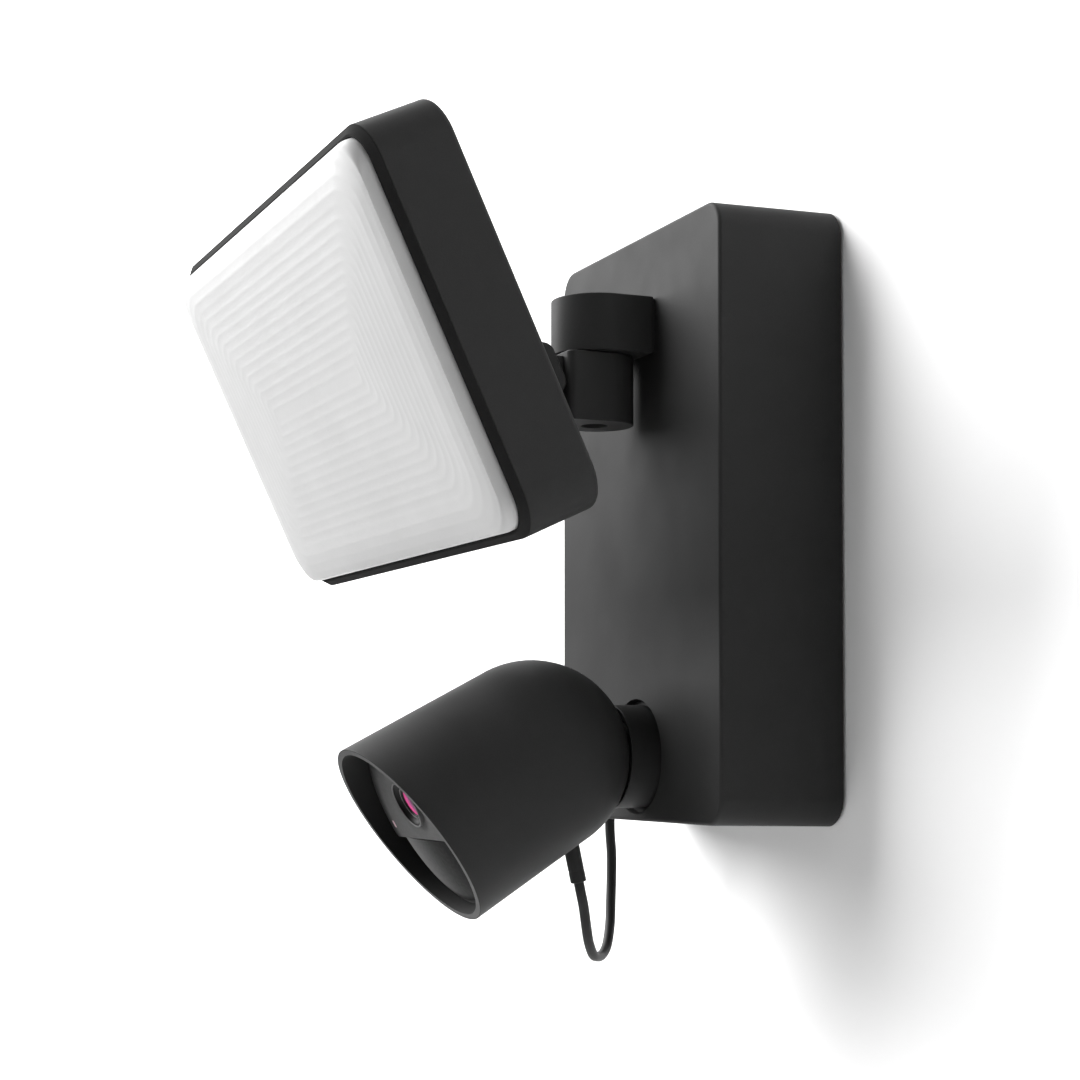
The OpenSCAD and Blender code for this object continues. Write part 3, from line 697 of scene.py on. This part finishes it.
def make_arm(materials):
    """The D-shaped block on the housing and the knuckle that turns under it."""
    low, high = node_box("arm_block")
    swivel = joint_origin("arm_swivel")
    radius, back = high.x, high.y
    outline = [*arc((0, swivel.y), radius, 180, 360, 40), (radius, back), (-radius, back)]
    rings = [[Vector((x, y, z)) for x, y in outline] for z in (low.z, high.z)]
    obj = mesh_object("arm_block_body", loft(rings))
    rounded_edges(obj, 0.5)
    finish_piece(obj, materials["arm"], "housing", ["arm_block"])

    bottom, top = node_box("swivel_knuckle")[0].z, swivel.z - 0.3
    corner_x, corner_y = KNUCKLE_R - KNUCKLE_CORNER, swivel.y - KNUCKLE_FRONT + KNUCKLE_CORNER
    outline = arc((0, swivel.y), KNUCKLE_R, 0, 180, 40)
    outline += arc((-corner_x, corner_y), KNUCKLE_CORNER, 180, 270, 8)
    outline += arc((corner_x, corner_y), KNUCKLE_CORNER, 270, 360, 8)
    rings = [[Vector((x, y, z)) for x, y in outline] for z in (bottom, top)]
    barrel = mesh_object("barrel", loft(rings))
    rounded_edges(barrel, 0.7)
    well = [
        (0, -1), (WELL_R + WELL_EDGE, -1), (WELL_R + WELL_EDGE, 0),
        (WELL_R, WELL_EDGE), (WELL_R, WELL_DEEP), (0, WELL_DEEP),
    ]
    cut(barrel, moved(spin(well, 56), Matrix.Translation((0, swivel.y - WELL_FORWARD, bottom))))
    spigot = [(0, -1), (SPIGOT_R, -1), (SPIGOT_R, SPIGOT_UP), (0, SPIGOT_UP)]
    spigot = moved(spin(spigot, 56), Matrix.Translation((0, swivel.y, top)))
    outline = arc((HEAD_HINGE.y, HEAD_HINGE.z), LUG_R, 90, 270, 24)
    outline += [(swivel.y - LUG_ROOT, HEAD_HINGE.z + side * LUG_R) for side in (-1, 1)]
    rings = [[Vector((x, y, z)) for y, z in outline] for x in (-LUG_HALF, LUG_HALF)]
    lug = mesh_object("lug", loft(rings))
    rounded_edges(lug, 0.8)
    obj = mesh_object("swivel_knuckle_body", joined(shape_of(barrel), spigot, shape_of(lug)))
    finish_piece(obj, materials["arm"], "knuckle", ["swivel_knuckle"])


# ---------- light head ----------

def make_neck(materials):
    """The fork on the back of the head: two cheeks, a bridge between them and a flange."""
    height, end, corner, half, slot_x = 22.4, 86.1, 5.5, 18.9, 10
    z = HEAD_PIVOT[1]
    low, high = z - height / 2, z + height / 2
    outline = [(HEAD_D - 1, low)] + arc((end - corner, low + corner), corner, -90, 0, 8)
    outline += arc((end - corner, high - corner), corner, 0, 90, 8) + [(HEAD_D - 1, high)]
    bridge_end = HEAD_PIVOT[0] - 12.5
    bridge = [(HEAD_D - 1, low), (bridge_end, low), (bridge_end, high), (HEAD_D - 1, high)]
    shapes = []
    slabs = (
        (outline, -half, -slot_x), (outline, slot_x, half), (bridge, -slot_x - 1, slot_x + 1),
    )
    for side, *ends in slabs:
        rings = [[Vector((x, y, v)) for y, v in side] for x in ends]
        part = mesh_object("part", loft(rings))
        rounded_edges(part, 0.8)
        shapes.append(shape_of(part))
    flange = [(x, v + z) for x, v in rounded(66, 46, 7)]
    inner = [(x, v + z) for x, v in rounded(65, 45, 6.5)]
    shapes.append(loft([
        ring_at(flange, HEAD_D - 0.5), ring_at(flange, HEAD_D + 3.5), ring_at(inner, HEAD_D + 4)
    ]))
    obj = mesh_object("light_neck_fork", joined(*shapes), HEAD_PLACE)
    # a round hole for the bolt's head and a hexagonal one for its nut
    sink = 4.4
    for x, radius, sides in ((14.8, 5.65, 48), (-19.1, 6.0, 6)):
        hole = spin([(0, 0), (radius, 0), (radius, sink), (0, sink)], sides)
        cut(obj, moved(hole, HEAD_PLACE @ Matrix.Translation((x, HEAD_PIVOT[0], z)) @ ALONG_X))
    finish_piece(obj, materials["arm"], "light_head", ["light_neck"])


def head_ring(y, inset):
    """The head's outline, y behind its front, moved in by inset."""
    outline = rounded(HEAD_W - 2 * inset, HEAD_H - 2 * inset, max(HEAD_R - inset, 1), 16)
    return ring_at(outline, y)


def make_head(materials):
    """The case behind, closed at its back, and the chamfered ring round the diffuser in front."""
    back_r, back_steps, wall, back_wall = 2.2, 6, 2.5, 3
    seam = 0.02
    rings = [
        head_ring(HEAD_D - back_wall, wall), head_ring(seam, wall),
        head_ring(seam, 0.1), head_ring(seam + 0.1, 0),
    ]
    for k in range(back_steps + 1):
        turn = math.radians(90 * k / back_steps)
        rings.append(head_ring(HEAD_D - back_r * (1 - math.sin(turn)), back_r * (1 - math.cos(turn))))
    obj = mesh_object("light_case", loft(rings), HEAD_PLACE)
    finish_piece(obj, materials["shell"], "light_head", ["light_housing"], sharp=50)

    ledge, back_in, lip_r = -1.35, 2.6, 0.25
    rings = [
        head_ring(-seam, 0.12), head_ring(-0.2, 0), head_ring(-0.35, 0.05),
        head_ring(-CHAMFER + 0.12, CHAMFER - 0.15), head_ring(-CHAMFER, CHAMFER + 0.1),
        head_ring(-CHAMFER, RIM - lip_r), head_ring(-CHAMFER + lip_r, RIM),
        head_ring(ledge, RIM), head_ring(ledge, back_in), head_ring(-seam, back_in),
    ]
    obj = mesh_object("light_bezel_ring", loft(rings, looped=True), HEAD_PLACE)
    finish_piece(obj, materials["bezel"], "light_head", ["light_bezel"], sharp=25)


# The diffuser's ridges are rounded rectangles a pitch apart, from a slim one in the middle outwards
RIDGES, PITCH, RIDGE_DEPTH = 16, 4.4, 0.065
RIDGE_HALF = (57.1, 3.76)
# In front of the head's side: a slight dome out to the shoulder ridge, then a steeper fall
CROWN, CROWN_FALL, SHOULDER, SHOULDER_FALL = 11.7, 1.3, RIDGES - 4, 0.17


def ridge_outline(n, steps=12):
    """The outline of ridge n, counted from 0 in the middle, where n may lie between two ridges."""
    half_w, half_h = RIDGE_HALF[0] + PITCH * n, RIDGE_HALF[1] + PITCH * n
    radius = max(min(2.4 + 0.9 * n, half_h - 0.05), 0.3)
    return rounded(2 * half_w, 2 * half_h, radius, steps)


def mixed(a, b, share):
    """An outline between two of equal length."""
    return [(p[0] + (q[0] - p[0]) * share, p[1] + (q[1] - p[1]) * share) for p, q in zip(a, b)]


def diffuser_height(n):
    """Height of the smooth surface in front of the head's side, n ridges out from the middle."""
    if n < SHOULDER:
        return CROWN - CROWN_FALL * (n / SHOULDER) ** 2
    return CROWN - CROWN_FALL - SHOULDER_FALL * (n - SHOULDER) ** 2


def make_diffuser(materials):
    """The rippled opal panel: ripples from the middle out, a round edge, then a hollow back."""
    crest_steps, edge_steps = 8, 9
    edge_gap, edge_front, wall = 0.3, 4.0, 2.5
    skirt, hollow_edge, hollow_middle = 0.6, 4, 8
    rings = []
    n = -0.75
    while n <= RIDGES - 0.5:
        ripple = RIDGE_DEPTH * (0.5 + 0.5 * math.cos(2 * math.pi * n)) ** 2 if n > -0.5 else 0
        height = diffuser_height(max(n, 0)) - RIDGE_DEPTH + ripple
        rings.append(ring_at(ridge_outline(n), -height))
        n += 1 / crest_steps
    start = ridge_outline(n - 1 / crest_steps)
    top = -rings[-1][0].y

    def panel_outline(gap):
        return rounded(HEAD_W - 2 * RIM - 2 * gap, HEAD_H - 2 * RIM - 2 * gap, HEAD_R - RIM - gap, 12)

    edge, inner = panel_outline(edge_gap), panel_outline(wall)
    for k in range(1, edge_steps + 1):
        turn = math.radians(90 * k / edge_steps)
        share, fall = math.sin(turn), 1 - math.cos(turn)
        rings.append(ring_at(mixed(start, edge, share), -(top - (top - edge_front) * fall)))
    rings += [
        ring_at(edge, skirt), ring_at(inner, skirt), ring_at(inner, -hollow_edge),
        ring_at(ridge_outline(10), -hollow_middle),
    ]
    obj = mesh_object("diffuser_panel", loft(rings), HEAD_PLACE)
    finish_piece(obj, materials["diffuser"], "light_head", ["light_diffuser"], sharp=60)


# ---------- camera body ----------

def barrel_point(station, radius, turn, from_station):
    """A point on the barrel, where the rake moves the rim forward at the top and back at the bottom."""
    up = radius * math.sin(turn)
    share = min(max((station - from_station) / (BARREL_L - from_station), 0), 1)
    return Vector((radius * math.cos(turn), -(station + RAKE * up * share), up))


def make_camera_shell(materials):
    """Dome, barrel and visor in one closed shell, outside first, as (station, radius) rings."""
    steps, dome_steps, inner_steps = 96, 24, 4
    visor_wall, edge, inner_edge = 2.9, 0.4, 0.2
    shelf, hollow_r = FACE_S - 8, DOME_R - 2.8

    def quarter(count, first=1):
        """Angles that share a right angle out, from step first on."""
        return [math.radians(90 * k / count) for k in range(first, count + 1)]

    slope = (VISOR_R - DOME_R) / BARREL_L
    outer = [(-DOME_R * math.cos(t), DOME_R * math.sin(t)) for t in quarter(dome_steps)]
    outer += [(s, DOME_R + slope * s) for s in (12, 24, 36, 48, 57, BARREL_L - edge)]
    outer += [
        (BARREL_L - edge * (1 - math.sin(t)), VISOR_R - edge * (1 - math.cos(t))) for t in quarter(5)
    ]
    rim_in = VISOR_R - visor_wall
    inner = [
        (BARREL_L - inner_edge * (1 - math.cos(t)), rim_in + inner_edge * (1 - math.sin(t)))
        for t in quarter(inner_steps, first=0)
    ]
    inner += [(FACE_S - 1, FACE_R + 0.3), (shelf, FACE_R - 0.2), (0, hollow_r)]
    inner += [(-hollow_r * math.sin(t), hollow_r * math.cos(t)) for t in quarter(dome_steps)[:-1]]
    turns = [2 * math.pi * k / steps for k in range(steps)]
    rings = [[barrel_point(s, r, turn, 0) for turn in turns] for s, r in outer]
    rings += [[barrel_point(s, r, turn, shelf) for turn in turns] for s, r in inner]
    verts, faces = loft(rings, first=False, last=False)
    for first, pole in ((0, DOME_R), ((len(rings) - 1) * steps, hollow_r)):
        verts.append(Vector((0, pole, 0)))
        faces += [(len(verts) - 1, first + (k + 1) % steps, first + k) for k in range(steps)]
    obj = mesh_object("camera_shell_body", (verts, faces), CAMERA_PLACE)
    rim = (len(outer) - 1) * steps
    liner = rim + inner_steps * steps
    end = (len(rings) - 1) * steps
    # painted light: the rim's faces get a lighter copy of the shell's plastic
    finish_piece(
        obj, materials["camera"], "camera", ["camera_shell"], sharp=60,
        # painted shade: the visor's inside gets a darker copy of the shell's plastic
        patches=[(materials["rim"], range(rim, liner)), (materials["liner"], range(liner, end))],
    )


def plate_relief(x, z):
    """How far the face plate stands proud: a soft bowl round the lens and a rounded edge."""
    bowl_deep, bowl_wide, edge_drop, edge_wide = 0.9, 6.5, 1.1, 4
    t = min(max((math.hypot(x, z - LENS_Z) - LENS_RING_R) / bowl_wide, 0), 1)
    bowl = bowl_deep * (1 - t * t * (3 - 2 * t))
    edge = min(max((FACE_R - math.hypot(x, z)) / edge_wide, 0), 1)
    return -bowl - edge_drop * (1 - edge) ** 2.2


def make_face_plate(materials):
    """Rings that run from the lens opening out to the plate's edge, which is round above the split."""
    hole = LENS_RING_R + 0.1
    back = -FACE_S + 3.2
    count, rows, crowding = 128, 24, 1.35
    split_half = math.sqrt(FACE_R ** 2 - SPLIT_Z ** 2)

    def reach(turn):
        """Distance from the lens axis to the plate's edge in a direction."""
        dz = math.sin(turn)
        b = LENS_Z * dz
        far = -b + math.sqrt(b * b - (LENS_Z ** 2 - FACE_R ** 2))
        if dz < 0:
            far = min(far, (SPLIT_Z - LENS_Z) / dz)
        return far

    corners = [math.atan2(SPLIT_Z - LENS_Z, s * split_half) for s in (1, -1)]
    turns = sorted([2 * math.pi * k / count - math.pi for k in range(count)] + corners)
    rings = []
    for k in range(rows + 1):
        share = 1 - (1 - k / rows) ** crowding
        ring = []
        for turn in turns:
            away = hole + (reach(turn) - hole) * share
            x, z = away * math.cos(turn), LENS_Z + away * math.sin(turn)
            ring.append(Vector((x, -(FACE_S + plate_relief(x, z)), z)))
        rings.append(ring)
    rings += [[Vector((v.x, back, v.z)) for v in ring] for ring in (rings[-1], rings[0])]
    obj = mesh_object("camera_face_plate", loft(rings, looped=True), CAMERA_PLACE)
    finish_piece(obj, materials["face"], "camera", ["face_plate"], sharp=45)


def make_sensor_window(materials):
    """The dark window below the split: a shallow bulge whose edge drops away from the inner wall."""
    top, radius, crown, fall, rim_fall, deep = SPLIT_Z - 0.35, 36.8, 0.6, 2.4, 1.6, 4.3
    columns, rows = 48, 24
    base = columns + 1
    lean = math.asin(-top / radius)

    def height(x, z):
        away = math.hypot(x, z) / radius
        return FACE_S + crown - fall * away ** 2 - rim_fall * away ** 9

    verts = []
    for j in range(1, rows + 1):
        for i in range(base):
            turn = math.pi + lean + (math.pi - 2 * lean) * i / columns
            x = radius * math.cos(turn) * j / rows
            z = top + (radius * math.sin(turn) - top) * j / rows
            verts.append(Vector((x, -height(x, z), z)))
    centre = len(verts)
    verts.append(Vector((0, -height(0, top), top)))
    faces = [
        (a, a + 1, a + 1 + base, a + base)
        for a in (j * base + i for j in range(rows - 1) for i in range(columns))
    ]
    faces += [(centre, i + 1, i) for i in range(columns)]
    # the skirt runs along the straight top edge, left to right, and back along the round one
    left = [j * base for j in range(rows - 1, -1, -1)]
    right = [j * base + columns for j in range(rows)]
    under = [(rows - 1) * base + i for i in range(columns - 1, 0, -1)]
    loop = left + [centre] + right + under
    skirt, n = len(verts), len(loop)
    verts += [Vector((verts[v].x, -FACE_S + deep, verts[v].z)) for v in loop]
    faces += [(loop[k], loop[(k + 1) % n], skirt + (k + 1) % n, skirt + k) for k in range(n)]
    faces.append(tuple(skirt + k for k in range(n)))
    obj = mesh_object("sensor_window_bulge", (verts, faces), CAMERA_PLACE)
    finish_piece(obj, materials["window"], "camera", ["sensor_window"], sharp=50)


def make_lens(materials):
    """Outer ring, inner barrel and glass, turned about the lens axis, with heights from the face."""
    place = CAMERA_PLACE @ Matrix.Translation((0, -FACE_S, LENS_Z)) @ ALONG_Y
    sides, edge_steps = 72, 6

    # faces before the given point keep the lighter plastic, a painted highlight on the rings' lips
    def dark_from(profile, first):
        """The faces of a turned profile from one of its points on."""
        return [(materials["lens_black"], range(first * sides, (len(profile) - 1) * sides))]

    ring = [(LENS_RING_R, -4), (LENS_RING_R, 0.65)]
    ring += arc((LENS_RING_R - 0.35, 0.65), 0.35, 0, 180, edge_steps)[1:]
    ring += [
        (LENS_RING_R - 0.8, 0.1), (8.9, -0.9), (7.5, -2.0), (7.35, -2.2), (7.35, -4),
        (LENS_RING_R, -4),
    ]
    obj = mesh_object("lens_outer_ring", spin(ring, sides), place)
    finish_piece(
        obj, materials["lens_edge_painted_highlight"], "camera", ["lens_ring"],
        patches=dark_from(ring, edge_steps + 1),
    )

    barrel = [(7.2, -20), (7.2, -1.0)]
    barrel += arc((6.95, -1.0), 0.25, 0, 180, edge_steps)[1:]
    barrel += [
        (6.5, -1.3), (6.15, -1.6), (6.15, -2.9), (4.6, -2.9), (4.6, -20), (7.2, -20),
    ]
    obj = mesh_object("lens_inner_barrel", spin(barrel, sides), place)
    finish_piece(
        obj, materials["lens_edge_painted_highlight"], "camera", ["lens_barrel"],
        patches=dark_from(barrel, edge_steps + 1),
    )

    crown, fall, thick, glass_steps = -0.9, 0.8, 1.9, 10
    shares = [k / glass_steps for k in range(glass_steps + 1)]
    glass = [(GLASS_R * share, crown - fall * share ** 2) for share in shares]
    glass += [(GLASS_R, crown - thick), (0, crown - thick)]
    obj = mesh_object("lens_front_glass", spin(glass, sides), place)
    finish_piece(obj, materials["glass"], "camera", ["lens_glass"])


# ---------- carried-over CAD nodes ----------

CAD_LOOKS = {
    "plate": ["wall_plate", "magnet_armature"],
    "rubber": ["wall_gasket", "arm_gasket", "cup_pad", "diffuser_seal", "face_seal"],
    "inner": ["rear_cover", "camera_chassis", "board_parts"],
    "white": ["terminal_block", "reflector"],
    "screw": [
        "housing_screws", "board_screws", "arm_screws", "swivel_bolt", "swivel_washer", "neck_screws",
        "tilt_bolt", "tilt_nut", "tilt_washers", "light_screws", "cup_screws", "chassis_screws",
        "camera_socket", "motion_sensor",
    ],
    "magnet": ["cup_magnet"],
    "sink": ["heat_sink"],
    "green": ["power_board", "camera_board"],
    "pale": ["led_board"],
    "led": ["leds"],
    "lens_black": ["image_sensor"],
    "light": ["status_light"],
}


def paint_nodes(materials):
    for look, names in CAD_LOOKS.items():
        for name in names:
            obj = frame["nodes"][name]
            if not obj.data.materials:
                obj.data.materials.append(materials[look])
            for place in obj.material_slots:
                place.material = materials[look]


# ---------- stage and light ----------

def one_sided(name, colour):
    """A pale backdrop that shows and casts shade only on its front."""
    made = Nodes(name)
    cloud = made.noise(900, 1.0)
    tone = made.tones(cloud, tint(colour, 0.995), colour)
    made.set(Base_Color=tone, Roughness=0.9, Specular_IOR_Level=0.1)
    clear = made.add("ShaderNodeBsdfTransparent").outputs[0]
    behind = made.add("ShaderNodeNewGeometry").outputs["Backfacing"]
    mix = made.add("ShaderNodeMixShader", {0: behind, 1: made.shader.outputs[0], 2: clear})
    made.tree.links.new(mix.outputs[0], made.tree.nodes["Material Output"].inputs[0])
    return made.material


def backdrop(name, corners, material):
    """A flat stage piece with four corners, in metres."""
    data = bpy.data.meshes.new(name)
    data.from_pydata(corners, [], [(0, 1, 2, 3)])
    obj = bpy.data.objects.new(name, data)
    data.materials.append(material)
    bpy.context.scene.collection.objects.link(obj)


def area_light(name, place, target, size, power):
    data = bpy.data.lights.new(name, "AREA")
    data.shape = "RECTANGLE"
    data.size, data.size_y = size
    data.energy = power
    obj = bpy.data.objects.new(name, data)
    obj.location = place
    obj.rotation_euler = (Vector(target) - Vector(place)).to_track_quat("-Z", "Y").to_euler()
    bpy.context.scene.collection.objects.link(obj)


def make_stage():
    pale = one_sided("pale_backdrop", (0.93, 0.93, 0.93))
    wall_y, floor_z, far = 0.0004, -1.7, 9
    # the wall is open behind the housing, so that a view from behind shows the mounting side lit
    open_x, open_low, open_high = 0.06, -0.098, 0.12
    for name, left, right, low, high in (
        ("wall_left", -far, -open_x, floor_z, far),
        ("wall_right", open_x, far, floor_z, far),
        ("wall_below", -open_x, open_x, floor_z, open_low),
        ("wall_above", -open_x, open_x, open_high, far),
    ):
        corners = ((left, low), (right, low), (right, high), (left, high))
        backdrop(name, [(x, wall_y, z) for x, z in corners], pale)
    corners = ((-far, -far), (far, -far), (far, far), (-far, far))
    backdrop("floor", [(x, y, floor_z) for x, y in corners], pale)
    area_light("key", (-1.35, -1.35, 1.15), (0, -0.05, 0.05), (2.2, 2.2), 165)
    world = bpy.data.worlds.new("studio")
    world.use_nodes = True
    background = world.node_tree.nodes["Background"]
    background.inputs["Color"].default_value = (1, 1, 1, 1)
    background.inputs["Strength"].default_value = 0.245
    scene = bpy.context.scene
    scene.world = world
    scene.view_settings.view_transform = "Standard"


def main():
    make_camera()
    materials = make_materials()
    cable = make_cable(materials)
    make_gland(materials)
    make_plug(materials)
    cup_z = make_housing(materials)
    make_cup(materials, cup_z)
    make_arm(materials)
    make_neck(materials)
    make_head(materials)
    make_diffuser(materials)
    make_camera_shell(materials)
    make_face_plate(materials)
    make_sensor_window(materials)
    make_lens(materials)
    paint_nodes(materials)
    make_stage()


main()
